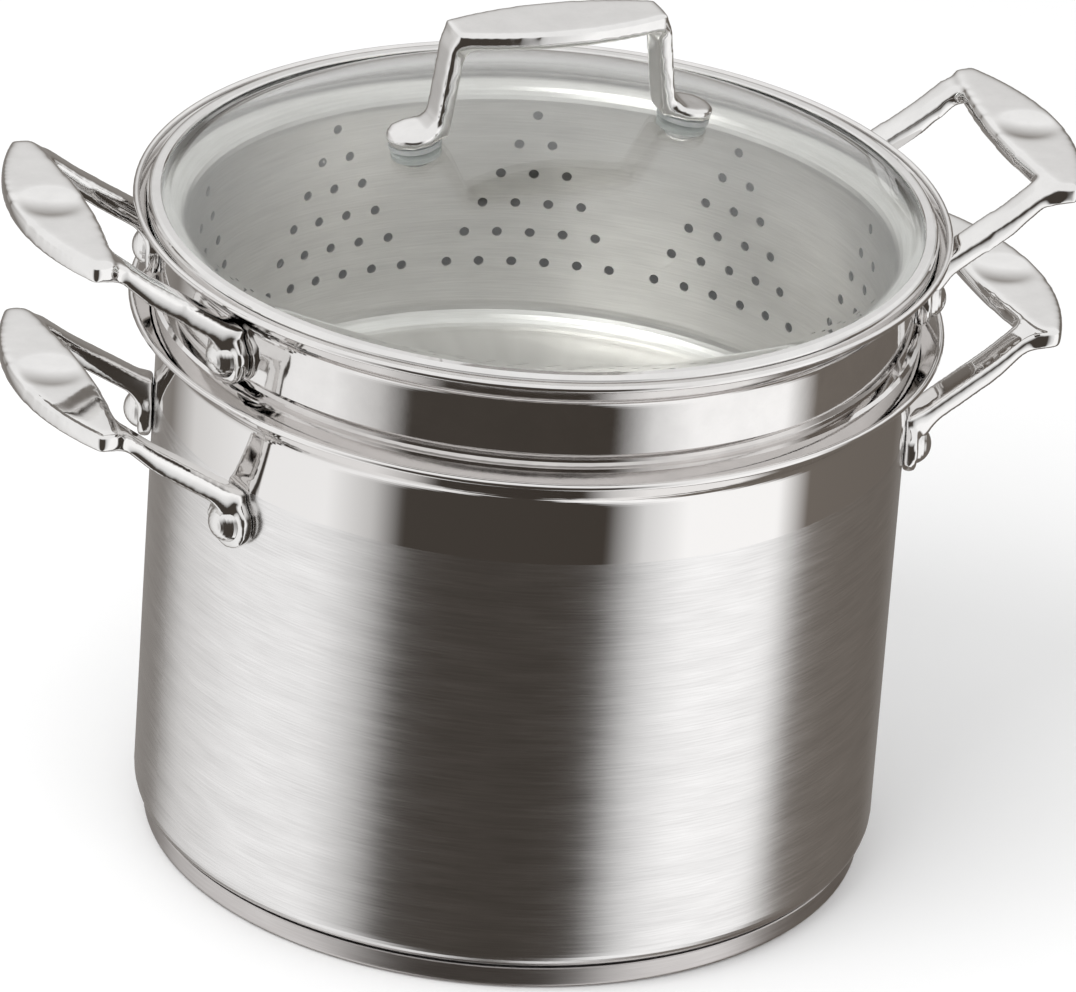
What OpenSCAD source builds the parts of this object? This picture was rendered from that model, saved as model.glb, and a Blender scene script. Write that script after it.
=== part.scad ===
// Pasta pot with a lift-out strainer insert and a glass lid.
// The pot stands on z = 0 with its axis on Z, and its side handles lie along X.

/* [Pot] */
// Outside diameter of the pot wall and of the insert's collar
pot_d = 242; // [234:1:260]
// Height at which the pot's lip begins to lean out
pot_flare_z = 173; // [166:1:185]
// Sheet thickness of the pot
pot_wall = 1; // [0.8:0.1:1.3]
// Bend radius between the pot's wall and floor
pot_corner = 7; // [6:0.5:9]

/* [Base] */
// How far the base disc stays inside the pot's wall
base_inset = 3.5; // [3:0.5:6]
// Height of the base disc
base_h = 7.3; // [6:0.1:9]
// Sheet thickness of the base cap
cap_wall = 0.8; // [0.6:0.1:1]
// Rounding of the base cap's lower edge
cap_round = 1.8; // [1.2:0.1:2.5]

/* [Lips] */
// Radius of the cove where a wall turns into its lip
lip_cove = 5; // [4:0.5:6]
// Lean of the lips from upright, in degrees
lip_lean = 46; // [42:1:48]
// How far a lip reaches out from its wall
lip_reach = 9; // [8:0.5:10]
// Radius of the rounded edge of a lip
lip_edge = 1.1; // [0.9:0.1:1.3]

/* [Insert] */
// How far the loose insert is turned in the pot, in degrees
insert_turn = -2.7; // [-5:0.1:5]
// Sheet thickness of the insert
insert_wall = 0.8; // [0.6:0.1:1]
// Height of the straight part of the collar
collar_h = 15.6; // [15:0.1:20]
// Depth of the groove between the collar and its seat
groove_depth = 2; // [1:0.1:2.5]
// How far the seat stands out from the collar
seat_reach = 2.4; // [2:0.1:3]
// Height of the seat's upright face
seat_h = 7; // [6:0.1:8]
// Length of the collar's spigot inside the pot
spigot_len = 8; // [5:0.5:12]
// Clearance between the spigot and the pot's wall
spigot_gap = 0.8; // [0.5:0.1:1]
// Clearance between pieces that rest on each other
seat_gap = 0.3; // [0.2:0.05:0.4]
// Depth of the basket, from its ledge to its floor
basket_depth = 88; // [70:1:110]
// Radius of the ledge that rolls into the basket, and so the basket's inset
ledge_r = 8; // [6:0.5:9]
// Rounding between the basket's wall and floor
basket_corner = 8; // [5:0.5:12]

/* [Strainer holes] */
// Diameter of a strainer hole
hole_d = 3.3; // [2.5:0.1:4]
// Number of hole fans around the basket
fan_count = 10; // [8:1:10]
// Rows of holes in a fan, each with one hole more
fan_rows = 6; // [3:1:6]
// Height between the rows of a fan
fan_row_h = 10.7; // [9:0.1:10.9]
// Distance from the basket's rim down to a fan's first hole
fan_drop = 12; // [12:0.5:14]
// Radius of the outer ring of holes in the floor
ring_r = 77.6; // [60:0.5:80]
// Rings of holes in the floor
ring_count = 3; // [1:1:4]
// Distance between the rings of the floor
ring_gap = 20; // [16:1:22]
// Distance between the holes of one ring
ring_pitch = 10.6; // [9:0.1:14]

/* [Side handles] */
// Height of the pot's rivets
pot_rivet_z = 141.5; // [125:0.5:142]
// Height of the insert's rivets above the collar's lower edge
insert_rivet_rise = 5.2; // [5:0.1:6]
// Angle from the handle's middle to each rivet, in degrees
rivet_angle = 19.5; // [18:0.5:21]
// Radius of a handle's round foot
foot_r = 9.3; // [9:0.1:9.5]
// Thickness of a handle's foot
foot_t = 4.7; // [4:0.1:5.5]
// Width of a handle's leg
leg_w = 11; // [9:0.5:12]
// Distance from the wall to the outer edge of the grip
grip_out = 55; // [52:0.5:60]
// Width of the grip at its middle
grip_w = 24.5; // [20:0.5:25]
// Thickness of the grip
grip_t = 6.5; // [5:0.5:8]
// Height of the grip's upper face above the rivets
grip_rise = 38; // [36:0.5:42]
// Depth of the dish in the grip's upper face
grip_dish = 1; // [0.5:0.1:1.5]

/* [Rivets] */
// Diameter of a rivet's shank
rivet_d = 5; // [4:0.5:6]
// Diameter of a rivet's domed head
rivet_head_d = 13; // [11:0.5:14]
// Height of a rivet's domed head
rivet_head_h = 4.6; // [3.5:0.1:5]
// Diameter of a rivet's tail inside the vessel
rivet_tail_d = 9; // [8:0.5:10]

/* [Lid] */
// How far the lid's rim reaches out from the collar's wall
lid_reach = 5.4; // [4.5:0.1:6]
// Width of the lid's rim
rim_w = 4.6; // [4:0.1:5.5]
// Height of the lid's rim
rim_h = 5.7; // [5.5:0.1:6.5]
// Sheet thickness of the lid's rim
rim_wall = 0.7; // [0.5:0.1:0.8]
// Thickness of the glass
glass_t = 4; // [3.5:0.1:4]
// Rise of the glass dome
dome_rise = 30.6; // [24:0.2:36]

/* [Lid handle] */
// Distance of each foot from the lid's middle
lid_foot_x = 45.5; // [42:0.5:50]
// Radius of a foot
lid_foot_r = 8.8; // [7.5:0.1:9]
// Thickness of a foot
lid_foot_t = 4; // [3.5:0.1:5]
// Height of the grip's upper face above the glass
lid_grip_rise = 35; // [32:0.5:42]
// Half length of the grip
lid_grip_half = 36; // [34:0.5:38]
// Width of the grip at its middle
lid_grip_w = 25; // [20:0.5:28]
// Thickness of the grip and the legs
lid_grip_t = 5.5; // [4:0.5:6]
// Width of the legs
lid_leg_w = 12; // [10:0.5:13]

/* [Lid hardware] */
// Diameter of the screws
screw_d = 5; // [4:0.5:5]
// Diameter of the screws' heads
screw_head_d = 9; // [8:0.5:10]
// Thickness of the clear washers
washer_t = 1.5; // [1:0.1:2]
// Diameter of the clear washers
washer_d = 17; // [14:0.5:17.5]
// Thickness of the steel washers
steel_washer_t = 1; // [0.8:0.1:1.2]
// Diameter of the steel washers
steel_washer_d = 13; // [11:0.5:14]

/* [Hidden] */
$fn = 96;
fit = 0.05;
weld = 0.1;
pot_r = pot_d / 2;
base_r = pot_r - base_inset;
floor_z = base_h + pot_wall;

// The insert is stacked from the pot's lip: seat, groove, collar, lip.
spigot_r = pot_r - pot_wall - spigot_gap;
seat_r = pot_r + seat_reach;
neck_r = pot_r - groove_depth;
seat_z = lip_inner_z(pot_r, pot_flare_z, pot_wall, seat_r) + seat_gap / sin(lip_lean);
seat_top = seat_z + seat_h;
seat_slope = 1.2;
groove_h = 2.5;
collar_z = seat_top + seat_slope + groove_h + 1.3;
insert_flare_z = collar_z + collar_h;
insert_rivet_z = collar_z + insert_rivet_rise;

// The basket hangs from the foot of the collar's lip.
basket_r = pot_r - 1 - ledge_r;
rim_z = insert_flare_z + 6;
ledge_z = rim_z - ledge_r;
basket_z = rim_z - basket_depth;

// The lid's rim lies in the insert's lip.
lid_r = pot_r + lid_reach;
rim_round = 2;
rim_bottom = lip_inner_z(pot_r, insert_flare_z, insert_wall, lid_r - rim_round)
    + (rim_round + seat_gap) / sin(lip_lean) - rim_round;
rim_top = rim_bottom + rim_h;
glass_gap = (rim_h - 2 * rim_wall - glass_t) / 2;
glass_z = rim_bottom + rim_wall + glass_gap;
glass_r = lid_r - rim_wall - 0.3;
dome_edge = lid_r - rim_w - 0.6;
dome_r = (dome_edge * dome_edge + dome_rise * dome_rise) / (2 * dome_rise);
dome_top = glass_z + glass_t + dome_rise;
dome_mid = dome_top - dome_r;
lid_tilt = asin(lid_foot_x / dome_r);

// Heights on the lip's sloping faces
function slope_start(r, t) = r + lip_cove - (lip_cove + t) * cos(lip_lean);
function lip_inner_z(r, z, t, at) =
    z + (lip_cove + t) * sin(lip_lean) + (at - slope_start(r, t)) / tan(lip_lean);
function lip_end(r, z) =
    [r + lip_reach,
     z + lip_cove * sin(lip_lean) + (lip_reach - lip_cove * (1 - cos(lip_lean))) / tan(lip_lean)];
function lip_shift(p, t) = [p[0] - t * cos(lip_lean), p[1] + t * sin(lip_lean)];
function lip_arc(r, z, t) =
    [for (i = [0:6]) let (a = lip_lean * i / 6)
        [r + lip_cove - (lip_cove + t) * cos(a), z + (lip_cove + t) * sin(a)]];
function arc(x, z, r, from, to, steps) =
    [for (i = [0:steps]) let (a = from + (to - from) * i / steps) [x + r * cos(a), z + r * sin(a)]];
function reversed(list) = [for (i = [len(list) - 1:-1:0]) list[i]];

// Outside and inside lines of a lip whose wall has the outer radius r and thickness t
function lip_outer(r, z) = concat(lip_arc(r, z, 0), [lip_end(r, z)]);
function lip_inner(r, z, t) = concat([lip_shift(lip_end(r, z), t)], reversed(lip_arc(r, z, t)));

module lip_bead(r, z, t) {
    centre = lip_shift(lip_end(r, z), t / 2);
    translate(centre) circle(lip_edge, $fn = 32);
}

// Places a child, drawn along X from the axis, at both rivets of the handle at this angle.
module at_rivets(angle, z) {
    for (side = [-1, 1])
        translate([0, 0, z]) rotate([0, 0, angle + side * rivet_angle]) rotate([0, 90, 0]) children();
}

module rivet_holes(angle, z) {
    at_rivets(angle, z) cylinder(d = rivet_d + 2 * fit, h = pot_r + foot_t + 1, $fn = 32);
}

// Pot

module pot_profile() {
    polygon(concat(
        [[0, base_h]],
        arc(pot_r - pot_corner, base_h + pot_corner, pot_corner, -90, 0, 8),
        lip_outer(pot_r, pot_flare_z),
        lip_inner(pot_r, pot_flare_z, pot_wall),
        arc(pot_r - pot_corner, base_h + pot_corner, pot_corner - pot_wall, 0, -90, 8),
        [[0, floor_z]]));
    lip_bead(pot_r, pot_flare_z, pot_wall);
}

module pot_shell() {
    color([0.62, 0.60, 0.58])
        difference() {
            rotate_extrude() pot_profile();
            rivet_holes(0, pot_rivet_z);
            rivet_holes(180, pot_rivet_z);
        }
}

module base_core() {
    color([0.8, 0.8, 0.8])
        translate([0, 0, cap_wall + fit])
            cylinder(r = base_r - cap_round, h = base_h - cap_wall - 2 * fit);
}

module base_cap() {
    color([0.5, 0.47, 0.45])
        rotate_extrude() polygon(concat(
            [[0, 0]],
            arc(base_r - cap_round, cap_round, cap_round, -90, 0, 6),
            [[base_r, base_h - 0.3], [base_r - 0.3, base_h]],
            [[base_r - cap_wall, base_h], [base_r - cap_round + fit, base_h]],
            [[base_r - cap_round + fit, cap_wall], [0, cap_wall]]));
}

// Side handles

// Outline of a leaf grip from above, with its long axis across X.
module grip_outline(outer, width, half) {
    outer_r = 96.6;
    inner_r = 241;
    intersection() {
        translate([outer - outer_r, 0]) circle(outer_r, $fn = 180);
        translate([outer - width + inner_r, 0]) circle(inner_r, $fn = 360);
        translate([outer - width + 15, 0]) circle(half, $fn = 96);
    }
}

// One leg, seen from the side: x outward from the wall's nearest point, y up from the rivets
module leg_outline() {
    top = grip_rise;
    low = grip_rise - grip_t;
    polygon([[-10, 2], [-1.5, 2], [3, 8.5], [22.5, low - 10.5], [grip_out - grip_w + 1.5, low - 2],
        [grip_out - grip_w + 9, low], [grip_out - grip_w + 12, top - 0.5],
        [grip_out - grip_w + 1, top - 2], [21, top - 9.8], [-3.5, 12.8], [-10, 11]]);
}

module side_handle(angle, z) {
    leg_y = pot_r * sin(rivet_angle);
    grip_half = leg_y + 8.1;
    color([0.8, 0.79, 0.78])
        difference() {
            union() {
                rotate([0, 0, angle]) {
                    translate([0, 0, z + grip_rise - grip_t]) linear_extrude(grip_t)
                        grip_outline(pot_r + grip_out, grip_w, grip_half);
                    for (side = [-1, 1])
                        translate([pot_r, side * leg_y + leg_w / 2, z]) rotate([90, 0, 0])
                            linear_extrude(leg_w) leg_outline();
                }
                at_rivets(angle, z) translate([0, 0, pot_r - 3])
                    cylinder(r = foot_r, h = foot_t + 3, $fn = 64);
            }
            translate([0, 0, z - 50]) cylinder(r = pot_r + fit, h = 150);
            rivet_holes(angle, z);
            rotate([0, 0, angle]) translate([pot_r + grip_out - grip_w / 2, 0, z + grip_rise])
                scale_dish();
        }
}

// A shallow round dish in the grip's upper face
module scale_dish() {
    dish_half = 11;
    dish_r = (dish_half * dish_half + grip_dish * grip_dish) / (2 * grip_dish);
    translate([0, 0, dish_r - grip_dish]) sphere(dish_r, $fn = 200);
}

module rivet() {
    head_z = pot_r + foot_t + fit;
    head_r = rivet_head_d / 2;
    dome_ball = (head_r * head_r + rivet_head_h * rivet_head_h) / (2 * rivet_head_h);
    half = asin(min(1, head_r / dome_ball));
    open = rivet_head_h > dome_ball ? 180 - half : half;
    rotate_extrude() polygon(concat(
        [[0, pot_r - pot_wall - 1.6], [rivet_tail_d / 2 - 1, pot_r - pot_wall - 1.6]],
        [[rivet_tail_d / 2, pot_r - pot_wall - 1], [rivet_tail_d / 2, pot_r - pot_wall - 0.15]],
        [[rivet_d / 2, pot_r - pot_wall - 0.15], [rivet_d / 2, head_z]],
        arc(0, head_z + rivet_head_h - dome_ball, dome_ball, 90 - open, 90, 8)));
}

module rivets(angle, z) {
    color([0.85, 0.84, 0.83]) at_rivets(angle, z) rivet();
}

module pot_handle_left() { side_handle(180, pot_rivet_z); }
module pot_handle_right() { side_handle(0, pot_rivet_z); }
module pot_rivets_left() { rivets(180, pot_rivet_z); }
module pot_rivets_right() { rivets(0, pot_rivet_z); }
module insert_handle_left() { side_handle(180 + insert_turn, insert_rivet_z); }
module insert_handle_right() { side_handle(insert_turn, insert_rivet_z); }
module insert_rivets_left() { rivets(180 + insert_turn, insert_rivet_z); }
module insert_rivets_right() { rivets(insert_turn, insert_rivet_z); }

// Insert

// The line of the collar below its straight part, from the spigot's end up
function collar_line(t) =
    [[spigot_r - t, seat_z - (seat_r - spigot_r) / tan(lip_lean) - spigot_len],
     [spigot_r - t, seat_z - (seat_r - spigot_r) / tan(lip_lean)],
     [seat_r - t, seat_z + 0.4 * t],
     [seat_r - t, seat_top - 0.4 * t],
     [seat_r - seat_slope - t, seat_top + seat_slope * 0.5 - 0.4 * t],
     [neck_r - t, seat_top + seat_slope],
     [neck_r - t, collar_z - 1.3],
     [pot_r - t, collar_z]];

module insert_collar() {
    color([0.66, 0.64, 0.62])
        difference() {
            rotate_extrude() {
                polygon(concat(
                    collar_line(0),
                    lip_outer(pot_r, insert_flare_z),
                    lip_inner(pot_r, insert_flare_z, insert_wall),
                    reversed(collar_line(insert_wall))));
                lip_bead(pot_r, insert_flare_z, insert_wall);
            }
            rivet_holes(insert_turn, insert_rivet_z);
            rivet_holes(180 + insert_turn, insert_rivet_z);
        }
}

module basket_profile() {
    ledge_x = basket_r + ledge_r;
    edge_x = slope_start(pot_r, insert_wall)
        + (rim_z - insert_wall - lip_inner_z(pot_r, insert_flare_z, insert_wall,
            slope_start(pot_r, insert_wall))) * tan(lip_lean) - weld;
    corner_x = basket_r - basket_corner;
    corner_z = basket_z + basket_corner;
    polygon(concat(
        [[0, basket_z - insert_wall]],
        arc(corner_x, corner_z, basket_corner + insert_wall, -90, 0, 8),
        arc(ledge_x, ledge_z, ledge_r - insert_wall, 180, 90, 8),
        [[edge_x, rim_z - insert_wall], [edge_x, rim_z]],
        arc(ledge_x, ledge_z, ledge_r, 90, 180, 8),
        arc(corner_x, corner_z, basket_corner, 0, -90, 8),
        [[0, basket_z]]));
}

// The holes of one fan: row by row, each row one hole wider, spread over the same angle
module fan_holes() {
    spread = 28;
    for (row = [0:fan_rows - 1])
        for (i = [0:row])
            rotate([0, 0, row == 0 ? 0 : spread * (row / (fan_rows - 1)) * (i / row - 0.5)])
                translate([basket_r - 2, 0, rim_z - fan_drop - row * fan_row_h]) rotate([0, 90, 0])
                    cylinder(d = hole_d, h = 4 + insert_wall, $fn = 24);
}

module floor_holes() {
    for (ring = [0:ring_count - 1]) {
        r = ring_r - ring * ring_gap;
        count = floor(2 * PI * r / ring_pitch);
        for (i = [0:count - 1])
            rotate([0, 0, 360 * i / count]) translate([r, 0, basket_z - insert_wall - 1])
                cylinder(d = hole_d, h = insert_wall + 2, $fn = 24);
    }
}

module insert_basket() {
    color([0.72, 0.71, 0.69])
        rotate([0, 0, insert_turn])
            difference() {
                rotate_extrude() basket_profile();
                for (fan = [0:fan_count - 1]) rotate([0, 0, 360 * fan / fan_count]) fan_holes();
                floor_holes();
            }
}

// Lid

// Places a child on the glass at both feet, with its z along the glass's normal.
module at_feet() {
    for (side = [-1, 1])
        translate([0, 0, dome_mid]) rotate([0, side * lid_tilt, 0]) translate([0, 0, dome_r]) children();
}

module lid_glass() {
    edge = asin(dome_edge / dome_r);
    inner = asin((dome_edge - 1) / (dome_r - glass_t));
    color([0.85, 0.9, 0.88, 0.35])
        difference() {
            rotate_extrude() polygon(concat(
                arc(0, dome_mid, dome_r - glass_t, 90, 90 - inner, 20),
                [[dome_edge + 0.5, glass_z], [glass_r, glass_z]],
                [[glass_r, glass_z + glass_t]],
                arc(0, dome_mid, dome_r, 90 - edge, 90, 20)));
            at_feet() translate([0, 0, -glass_t - 2])
                cylinder(d = screw_d + 2, h = glass_t + 4, $fn = 48);
        }
}

module lid_rim() {
    inner = lid_r - rim_w;
    color([0.8, 0.79, 0.78])
        rotate_extrude() polygon(concat(
            [[inner, rim_bottom]],
            arc(lid_r - rim_round, rim_bottom + rim_round, rim_round, -90, 0, 6),
            arc(lid_r - rim_round, rim_top - rim_round, rim_round, 0, 90, 6),
            [[inner + 0.4, rim_top], [inner, rim_top - 0.4]],
            [[inner, rim_top - rim_wall], [lid_r - rim_wall, rim_top - rim_wall]],
            [[lid_r - rim_wall, rim_bottom + rim_wall], [inner, rim_bottom + rim_wall]]));
}

// The right leg of the lid's handle from the side, with its height measured from the dome's top
module lid_leg_outline() {
    top = lid_grip_rise;
    low = lid_grip_rise - lid_grip_t;
    foot_top = dome_mid + (dome_r + washer_t + lid_foot_t) * cos(lid_tilt) - dome_top;
    leg_x = lid_grip_half - 3;
    polygon([[lid_foot_x - 9, foot_top - 2.2], [lid_foot_x + 1, foot_top - 3],
        [lid_foot_x - 2.5, foot_top + 1.5], [lid_foot_x - 5, foot_top + 4],
        [leg_x + 4.5, low], [leg_x + 2.5, top - 1], [leg_x - 3, top - 0.4],
        [leg_x - 5, low], [leg_x - 0.5, low - 2.5], [lid_foot_x - 10, foot_top + 3]]);
}

module lid_handle() {
    leaf_r = 110;
    color([0.8, 0.79, 0.78])
        difference() {
            union() {
                translate([0, 0, dome_top + lid_grip_rise - lid_grip_t]) linear_extrude(lid_grip_t)
                    intersection() {
                        translate([0, lid_grip_w / 2 - leaf_r]) circle(leaf_r, $fn = 200);
                        translate([0, leaf_r - lid_grip_w / 2]) circle(leaf_r, $fn = 200);
                        circle(lid_grip_half, $fn = 96);
                    }
                for (side = [0, 180])
                    rotate([0, 0, side]) translate([0, lid_leg_w / 2, dome_top]) rotate([90, 0, 0])
                        linear_extrude(lid_leg_w) lid_leg_outline();
                at_feet() translate([0, 0, washer_t + 2 * fit])
                    cylinder(r = lid_foot_r, h = lid_foot_t, $fn = 64);
            }
            at_feet() cylinder(d = screw_d + 2 * fit, h = washer_t + lid_foot_t - 0.8, $fn = 32);
        }
}

module ring(d, bore, h) {
    difference() {
        cylinder(d = d, h = h, $fn = 64);
        translate([0, 0, -1]) cylinder(d = bore, h = h + 2, $fn = 32);
    }
}

module lid_upper_washers() {
    color([0.9, 0.92, 0.92, 0.6])
        at_feet() translate([0, 0, fit]) ring(washer_d, screw_d + 0.4, washer_t);
}

// The lower washers lie a little off the hollow side of the dome.
module lid_lower_washers() {
    color([0.9, 0.92, 0.92, 0.6])
        at_feet() translate([0, 0, -glass_t - washer_t - 0.2]) ring(washer_d - 1, screw_d + 0.4, washer_t);
}

module lid_steel_washers() {
    color([0.75, 0.75, 0.75])
        at_feet() translate([0, 0, -glass_t - washer_t - steel_washer_t - 0.2 - fit])
            ring(steel_washer_d, screw_d + 0.4, steel_washer_t);
}

module lid_screws() {
    head_h = 2.6;
    under = -glass_t - washer_t - steel_washer_t - 0.2 - 2 * fit;
    color([0.7, 0.7, 0.7])
        at_feet() {
            translate([0, 0, under - fit])
                cylinder(d = screw_d, h = washer_t + lid_foot_t - 1 - under, $fn = 32);
            rotate_extrude() polygon(concat(
                [[0, under]],
                [[screw_head_d / 2, under], [screw_head_d / 2, under - head_h / 2]],
                [[screw_head_d / 2 - 1.2, under - head_h + 0.3], [0, under - head_h]]));
        }
}

pot_shell();
base_core();
base_cap();
pot_handle_left();
pot_handle_right();
pot_rivets_left();
pot_rivets_right();
insert_collar();
insert_basket();
insert_handle_left();
insert_handle_right();
insert_rivets_left();
insert_rivets_right();
lid_glass();
lid_rim();
lid_handle();
lid_screws();
lid_upper_washers();
lid_lower_washers();
lid_steel_washers();
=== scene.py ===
"""Looks of the pasta pot: cast handles, brushed and polished steel, clear glass, studio and camera."""

import math

import bpy
from mathutils import Matrix, Vector


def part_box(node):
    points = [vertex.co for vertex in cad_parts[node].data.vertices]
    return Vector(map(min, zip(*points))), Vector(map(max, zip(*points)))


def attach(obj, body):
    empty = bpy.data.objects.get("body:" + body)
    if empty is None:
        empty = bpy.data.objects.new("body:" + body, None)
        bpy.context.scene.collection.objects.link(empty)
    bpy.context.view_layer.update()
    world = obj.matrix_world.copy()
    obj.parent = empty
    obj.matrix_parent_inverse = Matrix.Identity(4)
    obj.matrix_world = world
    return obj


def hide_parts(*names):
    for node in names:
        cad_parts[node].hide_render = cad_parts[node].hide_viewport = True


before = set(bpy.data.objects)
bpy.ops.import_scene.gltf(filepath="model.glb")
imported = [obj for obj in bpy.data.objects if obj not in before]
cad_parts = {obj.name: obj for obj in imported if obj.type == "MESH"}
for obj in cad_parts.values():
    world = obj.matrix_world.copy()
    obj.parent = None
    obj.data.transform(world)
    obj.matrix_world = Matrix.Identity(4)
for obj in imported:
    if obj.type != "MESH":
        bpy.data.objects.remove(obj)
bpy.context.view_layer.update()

MM = 0.001

# Camera, as a photographer would state it
CAMERA_TURN = math.radians(-22.8)
CAMERA_RISE = math.radians(26.77)
CAMERA_ROLL = math.radians(4.125)
CAMERA_DISTANCE = 3.083
CAMERA_TARGET = Vector((0, 0, 0.100))
LENS_MM = 318.5
SENSOR_MM = 36.0
IMAGE_SIZE = (1076, 992)
TARGET_PIXEL = (519.9, 540.0)
CAMERA_REACH = 20

# Middle of a noise pattern's values, narrow for colour and wider for roughness
NOISE_CORE = (0.35, 0.65)
NOISE_REACH = (0.3, 0.7)

# Turning and brushing marks: changes per radian along them, and per metre across them
GRAIN_ALONG = 5.0
FINE_GRAIN = 1900
BROAD_GRAIN = 160
# A shift between the two patterns, so that the broad marks don't follow the fine ones
BROAD_SHIFT = 4.0
FINE_SHARE = 0.65
BROAD_SHARE = 0.35
GRAIN_DEPTH = 0.04 * MM
GRAIN_ROUGHNESS_SPREAD = 0.03

# Mirror polish with faint wipe marks
POLISHED_FROM = 153 * MM
POLISHED_COLOUR = (0.80, 0.785, 0.775)
POLISHED_ROUGHNESS = 0.045
BRIGHT_COLOUR = (0.80, 0.79, 0.78)
WIPE_SCALE = 90.0
WIPE_TINT = 0.94
WIPE_STRENGTH = 0.15
WIPE_DEPTH = 0.1 * MM
# Least and most that the wipe marks multiply a polish's roughness by
WIPE_ROUGHNESS = (0.7, 1.5)

# Glass seen straight on, and the light that falls through it
GLASS_COLOUR = (0.97, 0.985, 0.975)
GLASS_FILTER = (0.96, 0.975, 0.965)
GLASS_IOR = 1.45
GLASS_THICKNESS = 4 * MM
GLASS_FLAT_EDGE = 4.5 * MM
GLASS_BEVEL = 0.3 * MM
# A thin film on the glass: how fine it is, and the most roughness that it gives
FILM_SCALE = 25.0
FILM_ROUGHNESS = 0.012

# Clear rubber with cloudy patches
RUBBER_DARK = (0.72, 0.74, 0.73)
RUBBER_LIGHT = (0.9, 0.91, 0.9)
RUBBER_CLOUD_SCALE = 400.0

# The studio seen in the steel, as stops of azimuth from the camera's side: (degrees, brightness, warmth)
STUDIO = (
    (-180, 0.30, 1.06),
    (-140, 0.22, 1.08),
    (-122, 0.75, 1.01),
    (-90, 1.00, 1.00),
    (-62, 1.02, 1.00),
    (-46, 0.62, 1.01),
    (-36, 0.055, 1.16),
    (26, 0.05, 1.18),
    (38, 0.80, 1.00),
    (52, 1.15, 1.00),
    (84, 1.15, 1.00),
    (97, 0.16, 1.14),
    (150, 0.14, 1.14),
    (180, 0.30, 1.06),
)
# Upward part of a direction at which the bands start to fade to white, and at which they are white
OVERHEAD_FADE = (0.15, 0.5)
WHITE = (1.0, 1.0, 1.0)
SKY = (0.92, 0.92, 0.92)

# The floor's half width, and its place just below the base, so that the two faces don't fight
FLOOR_REACH = 6.0
FLOOR_DROP = 0.2 * MM
FLOOR_COLOUR = (0.93, 0.93, 0.93)


def add_camera():
    """A long lens from the front left, rolled so that the pot leans a little to the right."""
    back = Vector((
        math.cos(CAMERA_RISE) * math.sin(CAMERA_TURN),
        -math.cos(CAMERA_RISE) * math.cos(CAMERA_TURN),
        math.sin(CAMERA_RISE)))
    ahead = -back
    right = ahead.cross(Vector((0, 0, 1))).normalized()
    up = right.cross(ahead)
    cosine, sine = math.cos(CAMERA_ROLL), math.sin(CAMERA_ROLL)
    right, up = cosine * right + sine * up, cosine * up - sine * right
    # The view is turned until the target falls on its pixel
    focal = LENS_MM / SENSOR_MM * IMAGE_SIZE[0]
    yaw = math.atan((TARGET_PIXEL[0] - IMAGE_SIZE[0] / 2) / focal)
    ahead_yawed = math.cos(yaw) * ahead - math.sin(yaw) * right
    right = math.cos(yaw) * right + math.sin(yaw) * ahead
    pitch = math.atan(-(TARGET_PIXEL[1] - IMAGE_SIZE[1] / 2) / focal * math.cos(yaw))
    ahead = math.cos(pitch) * ahead_yawed - math.sin(pitch) * up
    up = math.cos(pitch) * up + math.sin(pitch) * ahead_yawed
    camera = bpy.data.objects.new("camera", bpy.data.cameras.new("camera"))
    camera.data.lens = LENS_MM
    camera.data.sensor_width = SENSOR_MM
    camera.data.clip_end = CAMERA_REACH
    turn = Matrix((right, up, -ahead)).transposed().to_4x4()
    camera.matrix_world = Matrix.Translation(CAMERA_TARGET + back * CAMERA_DISTANCE) @ turn
    bpy.context.collection.objects.link(camera)
    bpy.context.scene.camera = camera


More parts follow.
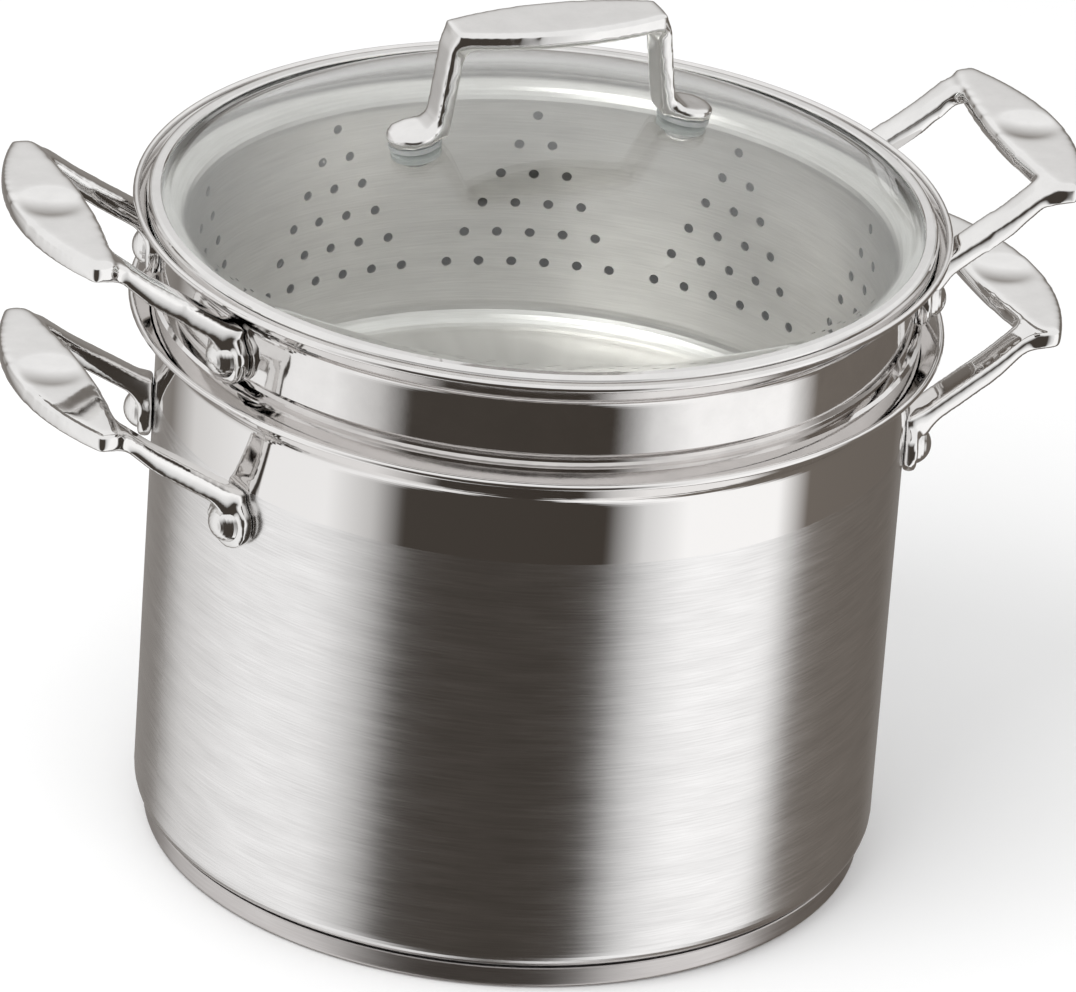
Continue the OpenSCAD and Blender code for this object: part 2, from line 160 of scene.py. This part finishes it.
class Nodes:
    """A small helper that adds and joins shader nodes in one tree."""

    # Sockets of the Mix node that carry colours
    MIX_FIRST = 6
    MIX_SECOND = 7
    MIX_RESULT = 2

    def __init__(self, tree):
        self.tree = tree

    def add(self, kind, **values):
        node = self.tree.nodes.new(kind)
        for key, value in values.items():
            setattr(node, key, value)
        return node

    def link(self, source, target):
        self.tree.links.new(source, target)

    def fill(self, node, values):
        """Give the node's first sockets these values: a number is set, and an output is linked."""
        for socket, value in zip(node.inputs, values):
            if isinstance(value, (int, float)):
                socket.default_value = value
            else:
                self.link(value, socket)

    def math(self, operation, *values):
        node = self.add("ShaderNodeMath", operation=operation)
        self.fill(node, values)
        return node.outputs[0]

    def combine(self, x, y, z):
        node = self.add("ShaderNodeCombineXYZ")
        self.fill(node, (x, y, z))
        return node.outputs[0]

    def split(self, vector):
        node = self.add("ShaderNodeSeparateXYZ")
        self.link(vector, node.inputs[0])
        return node.outputs

    def object_place(self):
        return self.add("ShaderNodeTexCoord").outputs["Object"]

    def ramp(self, factor, stops):
        """Colours at places from 0 to 1, with straight blends between them."""
        node = self.add("ShaderNodeValToRGB")
        node.color_ramp.interpolation = "LINEAR"
        while len(node.color_ramp.elements) > 1:
            node.color_ramp.elements.remove(node.color_ramp.elements[-1])
        for index, (place, colour) in enumerate(stops):
            element = node.color_ramp.elements[0] if index == 0 else node.color_ramp.elements.new(place)
            element.position = place
            element.color = (*colour, 1)
        self.link(factor, node.inputs[0])
        return node.outputs[0]

    def mix(self, factor, first, second):
        node = self.add("ShaderNodeMix", data_type="RGBA")
        self.link(factor, node.inputs[0])
        for index, value in ((self.MIX_FIRST, first), (self.MIX_SECOND, second)):
            if isinstance(value, tuple):
                node.inputs[index].default_value = (*value, 1)
            else:
                self.link(value, node.inputs[index])
        return node.outputs[self.MIX_RESULT]

    def noise(self, vector, scale, detail=2.0, roughness=0.5):
        node = self.add("ShaderNodeTexNoise")
        node.inputs["Scale"].default_value = scale
        node.inputs["Detail"].default_value = detail
        node.inputs["Roughness"].default_value = roughness
        self.link(vector, node.inputs["Vector"])
        return node.outputs[0]

    def span(self, value, reach, low, high):
        """Map the values of reach, its two ends, to low and high."""
        node = self.add("ShaderNodeMapRange")
        self.fill(node, (value, *reach, low, high))
        return node.outputs[0]

    def bump(self, height, strength, distance):
        node = self.add("ShaderNodeBump")
        node.inputs["Strength"].default_value = strength
        node.inputs["Distance"].default_value = distance
        self.link(height, node.inputs["Height"])
        return node.outputs[0]


def new_material(name):
    material = bpy.data.materials.new(name)
    material.use_nodes = True
    nodes = Nodes(material.node_tree)
    shader = material.node_tree.nodes["Principled BSDF"]
    return material, nodes, shader


def round_place(nodes):
    """Height, angle and radius of a point about the pot's axis."""
    x, y, z = nodes.split(nodes.object_place())
    angle = nodes.math("ARCTAN2", y, x)
    squares = [nodes.math("MULTIPLY", part, part) for part in (x, y)]
    radius = nodes.math("SQRT", nodes.math("ADD", *squares))
    return z, angle, radius


def turned_grain(nodes, across, angle):
    """Fine marks that run round the axis: quick to change across, slow to change along."""
    along = nodes.math("MULTIPLY", angle, GRAIN_ALONG)
    fine_place = nodes.combine(along, nodes.math("MULTIPLY", across, FINE_GRAIN), 0.0)
    fine = nodes.noise(fine_place, 1.0, detail=3.0, roughness=0.7)
    broad_place = nodes.combine(along, nodes.math("MULTIPLY", across, BROAD_GRAIN), BROAD_SHIFT)
    broad = nodes.noise(broad_place, 1.0)
    fine_part = nodes.math("MULTIPLY", fine, FINE_SHARE)
    broad_part = nodes.math("MULTIPLY", broad, BROAD_SHARE)
    return nodes.math("ADD", fine_part, broad_part)


def turned_steel(name, dark, light, rough, bump, across="height", polished_above=None):
    """Steel with turning marks round the axis, mirror-polished above a height if one is given."""
    material, nodes, shader = new_material(name)
    height, angle, radius = round_place(nodes)
    grain = turned_grain(nodes, height if across == "height" else radius, angle)
    colour = nodes.mix(nodes.span(grain, NOISE_CORE, 0, 1), dark, light)
    spread = GRAIN_ROUGHNESS_SPREAD
    roughness = nodes.span(grain, NOISE_REACH, rough - spread, rough + spread)
    if polished_above is not None:
        brushed = nodes.math("LESS_THAN", height, polished_above)
        colour = nodes.mix(brushed, POLISHED_COLOUR, colour)
        roughness = nodes.math("ADD", nodes.math("MULTIPLY", roughness, brushed), POLISHED_ROUGHNESS)
        grain = nodes.math("MULTIPLY", grain, brushed)
    nodes.link(colour, shader.inputs["Base Color"])
    nodes.link(roughness, shader.inputs["Roughness"])
    nodes.link(nodes.bump(grain, bump, GRAIN_DEPTH), shader.inputs["Normal"])
    shader.inputs["Metallic"].default_value = 1.0
    return material


def polished_steel(name, colour, rough):
    """Mirror polish with faint wipe marks, which vary its colour, roughness and relief."""
    material, nodes, shader = new_material(name)
    wipes = nodes.noise(nodes.object_place(), WIPE_SCALE, detail=4.0, roughness=0.6)
    tint = tuple(channel * WIPE_TINT for channel in colour)
    nodes.link(nodes.mix(nodes.span(wipes, NOISE_CORE, 0, 1), tint, colour), shader.inputs["Base Color"])
    least, most = (rough * factor for factor in WIPE_ROUGHNESS)
    nodes.link(nodes.span(wipes, NOISE_REACH, least, most), shader.inputs["Roughness"])
    nodes.link(nodes.bump(wipes, WIPE_STRENGTH, WIPE_DEPTH), shader.inputs["Normal"])
    shader.inputs["Metallic"].default_value = 1.0
    return material


def clear_glass(name):
    """Thin clear glass: it lets light straight through and mirrors the studio at its surface."""
    material, nodes, shader = new_material(name)
    film = nodes.noise(nodes.object_place(), FILM_SCALE)
    nodes.link(nodes.span(film, NOISE_REACH, 0.0, FILM_ROUGHNESS), shader.inputs["Roughness"])
    shader.inputs["Base Color"].default_value = (*GLASS_COLOUR, 1)
    shader.inputs["Transmission Weight"].default_value = 1.0
    shader.inputs["IOR"].default_value = GLASS_IOR
    through = nodes.add("ShaderNodeBsdfTransparent")
    through.inputs[0].default_value = (*GLASS_FILTER, 1)
    rays = nodes.add("ShaderNodeLightPath")
    soft = nodes.math("MAXIMUM", rays.outputs["Is Shadow Ray"], rays.outputs["Is Diffuse Ray"])
    blend = nodes.add("ShaderNodeMixShader")
    nodes.link(soft, blend.inputs[0])
    nodes.link(shader.outputs[0], blend.inputs[1])
    nodes.link(through.outputs[0], blend.inputs[2])
    nodes.link(blend.outputs[0], nodes.tree.nodes["Material Output"].inputs[0])
    return material


def clear_rubber(name):
    """Cloudy clear rubber, for the washers between metal and glass."""
    material, nodes, shader = new_material(name)
    cloud = nodes.noise(nodes.object_place(), RUBBER_CLOUD_SCALE)
    nodes.link(nodes.mix(cloud, RUBBER_DARK, RUBBER_LIGHT), shader.inputs["Base Color"])
    shader.inputs["Roughness"].default_value = 0.35
    shader.inputs["Transmission Weight"].default_value = 0.6
    return material


def smooth_shade(mesh):
    for polygon in mesh.polygons:
        polygon.use_smooth = True


def rounded_copy(node, body, material, voxel, rounds):
    """A cast piece with every edge eased, made from its CAD shape, which it replaces."""
    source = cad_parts[node]
    piece = bpy.data.objects.new(node + "_cast", source.data.copy())
    piece.matrix_world = source.matrix_world.copy()
    bpy.context.collection.objects.link(piece)
    remesh = piece.modifiers.new("remesh", "REMESH")
    remesh.mode = "VOXEL"
    remesh.voxel_size = voxel
    remesh.use_smooth_shade = True
    smooth = piece.modifiers.new("smooth", "SMOOTH")
    smooth.factor = 0.5
    smooth.iterations = rounds
    evaluated = piece.evaluated_get(bpy.context.evaluated_depsgraph_get())
    mesh = bpy.data.meshes.new_from_object(evaluated)
    piece.modifiers.clear()
    piece.data = mesh
    mesh.materials.clear()
    mesh.materials.append(material)
    smooth_shade(mesh)
    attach(piece, body)
    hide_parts(node)


def lathe(name, outline, segments=256):
    """A closed shell turned about the axis. Its outline of radius and height starts and ends on the axis."""
    vertices, faces, rings = [], [], []
    for radius, height in outline:
        if radius == 0:
            rings.append([len(vertices)] * segments)
            vertices.append((0, 0, height))
            continue
        rings.append(list(range(len(vertices), len(vertices) + segments)))
        for step in range(segments):
            angle = 2 * math.pi * step / segments
            vertices.append((radius * math.cos(angle), radius * math.sin(angle), height))
    for lower, upper in zip(rings, rings[1:]):
        for step in range(segments):
            following = (step + 1) % segments
            corners = [lower[step], lower[following], upper[following], upper[step]]
            faces.append(list(dict.fromkeys(corners)))
    mesh = bpy.data.meshes.new(name)
    mesh.from_pydata(vertices, [], faces)
    mesh.validate()
    smooth_shade(mesh)
    piece = bpy.data.objects.new(name, mesh)
    bpy.context.collection.objects.link(piece)
    return piece


def arc(middle, radius, last_x, steps=48):
    """Points of radius and height on a ball about the axis, from its top out to last_x."""
    last = math.asin(last_x / radius)
    return [(radius * math.sin(last * i / steps), middle + radius * math.cos(last * i / steps))
            for i in range(steps + 1)]


def add_glass_dome():
    """The lid's glass as one smooth dome of even thickness, with a flat edge held in the rim."""
    low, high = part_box("lid_glass")
    edge_z = low[2] + GLASS_THICKNESS
    edge_x = high[0] - GLASS_FLAT_EDGE
    rise = high[2] - edge_z
    ball = (edge_x ** 2 + rise ** 2) / (2 * rise)
    middle = high[2] - ball
    # Short slopes ease the turn from the dome to its flat edge, below and above
    under_slope_start = edge_x - 1 * MM
    under_slope_end = edge_x + 0.5 * MM
    above_slope_end = edge_x + 0.6 * MM
    under = arc(middle, ball - GLASS_THICKNESS, under_slope_start)
    above = arc(middle, ball, edge_x)[::-1]
    edge = [
        (under_slope_end, low[2]),
        (high[0] - GLASS_BEVEL, low[2]),
        (high[0], low[2] + GLASS_BEVEL),
        (high[0], edge_z - GLASS_BEVEL),
        (high[0] - GLASS_BEVEL, edge_z),
        (above_slope_end, edge_z),
    ]
    glass = lathe("glass_dome", under + edge + above)
    glass.data.materials.append(clear_glass("lid_clear"))
    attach(glass, "lid")
    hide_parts("lid_glass")


def dress(node, material):
    """Give a CAD node's object this material alone."""
    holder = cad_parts[node]
    holder.data.materials.clear()
    holder.data.materials.append(material)


def dress_pot():
    dress("pot_shell", turned_steel(
        "pot_brushed", dark=(0.70, 0.69, 0.685), light=(0.86, 0.85, 0.845), rough=0.17, bump=0.3,
        polished_above=POLISHED_FROM))
    dress("base_cap", turned_steel(
        "base_turned", dark=(0.52, 0.495, 0.485), light=(0.64, 0.615, 0.605), rough=0.3, bump=0.4))
    dress("base_core", turned_steel(
        "core_turned", dark=(0.6, 0.6, 0.61), light=(0.75, 0.75, 0.76), rough=0.4, bump=0.5,
        across="radius"))
    rivets = polished_steel("rivet_polish", BRIGHT_COLOUR, rough=0.10)
    for node in ("pot_rivets_left", "pot_rivets_right", "insert_rivets_left", "insert_rivets_right"):
        dress(node, rivets)


def dress_insert():
    dress("insert_collar", polished_steel("collar_polish", POLISHED_COLOUR, rough=0.05))
    dress("insert_basket", turned_steel(
        "basket_satin", dark=(0.62, 0.605, 0.585), light=(0.76, 0.745, 0.725), rough=0.33, bump=0.5))


def dress_lid():
    add_glass_dome()
    dress("lid_rim", polished_steel("rim_polish", BRIGHT_COLOUR, rough=0.05))
    fasteners = polished_steel("screw_bright", (0.68, 0.68, 0.68), rough=0.15)
    dress("lid_screws", fasteners)
    dress("lid_steel_washers", fasteners)
    washers = clear_rubber("washer_clear")
    dress("lid_upper_washers", washers)
    dress("lid_lower_washers", washers)


def dress_handles():
    cast = polished_steel("cast_polish", (0.82, 0.81, 0.80), rough=0.05)
    for vessel in ("pot", "insert"):
        for side in ("left", "right"):
            rounded_copy(f"{vessel}_handle_{side}", vessel, cast, voxel=0.9 * MM, rounds=26)
    rounded_copy("lid_handle", "lid", cast, voxel=0.8 * MM, rounds=14)


def light_studio():
    """White for the camera, an even soft sky for matt surfaces, and the studio's panels for the steel."""
    world = bpy.data.worlds.new("studio")
    bpy.context.scene.world = world
    world.use_nodes = True
    nodes = Nodes(world.node_tree)
    world.node_tree.nodes.clear()
    output = nodes.add("ShaderNodeOutputWorld")
    x, y, z = nodes.split(nodes.add("ShaderNodeTexCoord").outputs["Generated"])
    azimuth = nodes.math("ARCTAN2", y, x)
    camera_azimuth = -math.pi / 2 + CAMERA_TURN
    turned = nodes.math("ADD", azimuth, math.pi - camera_azimuth)
    place = nodes.math("FRACT", nodes.math("DIVIDE", turned, 2 * math.pi))
    stops = [((degrees + 180) / 360, (level * warmth, level, level / warmth))
             for degrees, level, warmth in STUDIO]
    studio = nodes.mix(nodes.span(z, OVERHEAD_FADE, 0, 1), nodes.ramp(place, stops), WHITE)
    rays = nodes.add("ShaderNodeLightPath")
    glossy = nodes.mix(rays.outputs["Is Glossy Ray"], SKY, studio)
    plain = nodes.math("MAXIMUM", rays.outputs["Is Camera Ray"], rays.outputs["Is Transmission Ray"])
    background = nodes.add("ShaderNodeBackground")
    nodes.link(nodes.mix(plain, glossy, WHITE), background.inputs[0])
    nodes.link(background.outputs[0], output.inputs[0])


def add_floor():
    """A pale floor that keeps the pot's soft shadow. The steel mirrors the studio instead of it."""
    mesh = bpy.data.meshes.new("floor")
    corners = [(x * FLOOR_REACH, y * FLOOR_REACH, 0) for x, y in ((-1, -1), (1, -1), (1, 1), (-1, 1))]
    mesh.from_pydata(corners, [], [(0, 1, 2, 3)])
    floor = bpy.data.objects.new("floor", mesh)
    floor.location.z = -FLOOR_DROP
    bpy.context.collection.objects.link(floor)
    floor.visible_glossy = False
    material, _, shader = new_material("floor_pale")
    shader.inputs["Base Color"].default_value = (*FLOOR_COLOUR, 1)
    shader.inputs["Roughness"].default_value = 0.9
    shader.inputs["Specular IOR Level"].default_value = 0.0
    mesh.materials.append(material)


def add_lamp(name, azimuth, rise, distance, size, power):
    """A soft square lamp aimed at the camera's target from an azimuth and a height in degrees."""
    lamp = bpy.data.lights.new(name, "AREA")
    lamp.size = size
    lamp.energy = power
    holder = bpy.data.objects.new(name, lamp)
    azimuth, rise = math.radians(azimuth), math.radians(rise)
    away = Vector((math.cos(rise) * math.cos(azimuth), math.cos(rise) * math.sin(azimuth), math.sin(rise)))
    holder.location = CAMERA_TARGET + away * distance
    holder.rotation_euler = away.to_track_quat("Z", "Y").to_euler()
    holder.visible_glossy = False
    bpy.context.collection.objects.link(holder)


add_camera()
dress_pot()
dress_insert()
dress_lid()
dress_handles()
light_studio()
add_floor()
add_lamp("key_lamp", azimuth=-150, rise=55, distance=1.6, size=1.0, power=12)
bpy.context.scene.view_settings.view_transform = "Standard"
